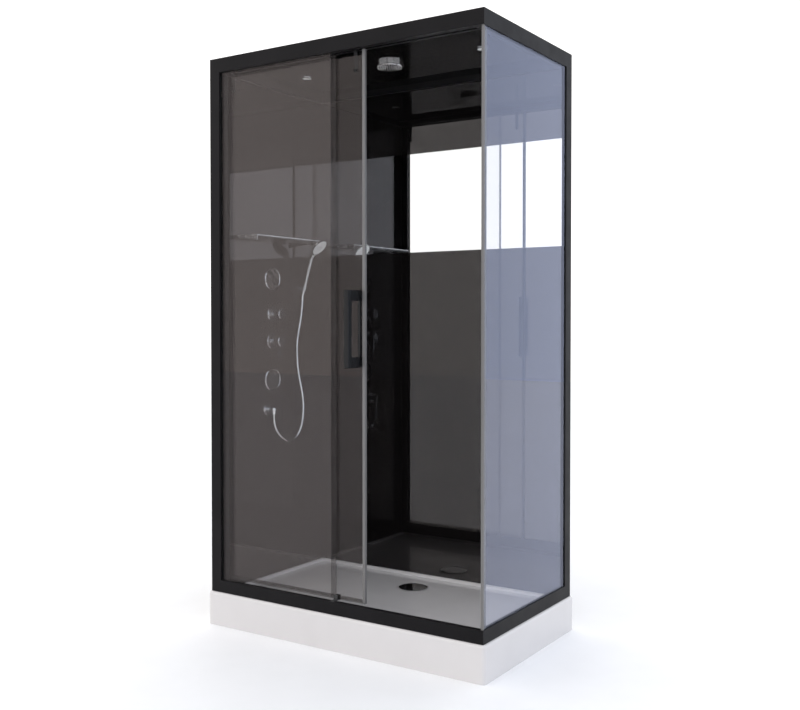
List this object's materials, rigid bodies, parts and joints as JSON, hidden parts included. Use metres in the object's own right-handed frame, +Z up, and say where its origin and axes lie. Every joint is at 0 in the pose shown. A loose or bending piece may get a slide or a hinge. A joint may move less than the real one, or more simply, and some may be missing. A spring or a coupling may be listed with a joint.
{
  "type": "steam shower cabin",
  "caption": "Rectangular roofed shower cabin with a low tray, sliding glass door, mirrored back wall and a column of shower fittings on the left wall.",
  "frame": {"origin": "centre of the tray's footprint, on the floor", "axes": "+X along the front towards the glass side, +Y towards the back wall, +Z up"},
  "size_m": [1.2, 0.737, 2.15],
  "materials": {
    "tray": "glossy white acrylic",
    "galvanised": "galvanised",
    "feet": "zinc plated",
    "waste_plastic": "moulded",
    "chrome": "polished",
    "frame_black": "satin black coated",
    "cast_keys": "cast",
    "black_glass": "back-painted glossy black",
    "mirror": "silvered",
    "roof_black": "glossy black",
    "clear_glass": "clear toughened",
    "gasket": "matte black",
    "clear_seal": "translucent",
    "grey_seal": "light grey satin",
    "roller_plastic": "moulded",
    "jet_plastic": "moulded",
    "nozzle_plate": "grey with soft nozzles",
    "handset_face": "pale grey with soft nozzles",
    "fitting_black": "gloss black coated",
    "hose": "silver, smooth",
    "plated_plastic": "chrome-plated",
    "shelf": "glossy black",
    "shelf_brackets": "polished",
    "light_lens": "diffusing",
    "pipes": "white composite pipe"
  },
  "bodies": {
    "cabin": {"tray_shell": "tray", "tray_long_rails": "galvanised", "tray_cross_bars": "galvanised", "adjustable_feet": "feet", "waste_body": "waste_plastic", "wall_rings": "chrome", "outlet_elbow": "chrome", "light_bezels": "chrome", "rain_neck": "chrome", "rain_head": "chrome", "valve_bodies": "chrome", "sill_front": "frame_black", "sill_right": "frame_black", "sill_back": "frame_black", "sill_left": "frame_black", "top_rail_front": "frame_black", "top_rail_right": "frame_black", "top_rail_back": "frame_black", "top_rail_left": "frame_black", "post_front_left": "frame_black", "post_back_right": "frame_black", "post_back_left": "frame_black", "corner_keys": "cast_keys", "back_panel_lower": "black_glass", "back_panel_upper": "black_glass", "left_wall_panel": "black_glass", "mirror_band": "mirror", "roof_panel": "roof_black", "fixed_pane": "clear_glass", "side_pane": "clear_glass", "pane_gaskets": "gasket", "fixed_pane_seal": "clear_seal", "corner_seal": "grey_seal", "door_stops": "roller_plastic", "door_guide": "roller_plastic", "jet_housings": "jet_plastic", "shower_hose": "hose", "hand_shower_holder": "plated_plastic", "shelf": "shelf", "shelf_brackets": "shelf_brackets", "light_modules": "light_lens", "water_pipes": "pipes"},
    "door": {"door_pane": "clear_glass", "door_edge_profile": "grey_seal", "door_seals": "clear_seal", "door_hangers": "fitting_black", "door_bolts": "chrome", "door_handle": "fitting_black", "handle_inner_plate": "fitting_black"},
    "rollers_left": {"rollers_left": "roller_plastic"},
    "rollers_right": {"rollers_right": "roller_plastic"},
    "trap_cup": {"trap_cup": "waste_plastic"},
    "drain_cover": {"drain_cover": "chrome"},
    "upper_jet": {"upper_jet_nozzle_plate": "nozzle_plate"},
    "lower_jet": {"lower_jet_nozzle_plate": "nozzle_plate"},
    "diverter_knob": {"diverter_knob": "chrome"},
    "mixer_hub": {"mixer_hub": "chrome"},
    "mixer_lever": {"mixer_lever": "chrome"},
    "hand_shower": {"hand_shower": "plated_plastic", "hand_shower_nozzle_plate": "handset_face"}
  },
  "joints": [
    {"name": "door_slide", "type": "slide", "parent": "cabin", "child": "door", "axis": [1, 0, 0], "range_m": [-0.02, 0.4657]},
    {"name": "rollers_left_spin", "type": "hinge", "parent": "door", "child": "rollers_left", "pos_m": [-0.5, -0.31, 2.1073], "axis": [0, 1, 0], "range_deg": [-150, 3345]},
    {"name": "rollers_right_spin", "type": "hinge", "parent": "door", "child": "rollers_right", "pos_m": [0.07, -0.31, 2.1073], "axis": [0, 1, 0], "range_deg": [-150, 3345]},
    {"name": "trap_cup_lift", "type": "slide", "parent": "cabin", "child": "trap_cup", "axis": [0, 0, 1], "range_m": [0, 0.06]},
    {"name": "drain_cover_lift", "type": "slide", "parent": "trap_cup", "child": "drain_cover", "axis": [0, 0, 1], "range_m": [0, 0.04]},
    {"name": "upper_jet_tilt", "type": "hinge", "parent": "cabin", "child": "upper_jet", "pos_m": [-0.56, -0.02, 1.33], "axis": [0, 1, 0], "range_deg": [-8, 8]},
    {"name": "lower_jet_tilt", "type": "hinge", "parent": "cabin", "child": "lower_jet", "pos_m": [-0.56, -0.02, 0.921], "axis": [0, 1, 0], "range_deg": [-8, 8]},
    {"name": "diverter_turn", "type": "hinge", "parent": "cabin", "child": "diverter_knob", "pos_m": [-0.51, -0.02, 1.188], "axis": [1, 0, 0], "range_deg": [-90, 90]},
    {"name": "mixer_temperature", "type": "hinge", "parent": "cabin", "child": "mixer_hub", "pos_m": [-0.53, -0.02, 1.078], "axis": [1, 0, 0], "range_deg": [-45, 45]},
    {"name": "mixer_flow", "type": "hinge", "parent": "mixer_hub", "child": "mixer_lever", "pos_m": [-0.52, -0.02, 1.066], "axis": [0, -1, 0], "range_deg": [0, 25]},
    {"name": "hand_shower_turn", "type": "hinge", "parent": "cabin", "child": "hand_shower", "pos_m": [-0.535, 0.157, 1.296], "axis": [0.2924, 0, 0.9563], "range_deg": [-15, 8]}
  ],
  "couplings": [
    {"joint": "rollers_left_spin", "follows": "door_slide", "rad_per_m": 125},
    {"joint": "rollers_right_spin", "follows": "door_slide", "rad_per_m": 125}
  ]
}
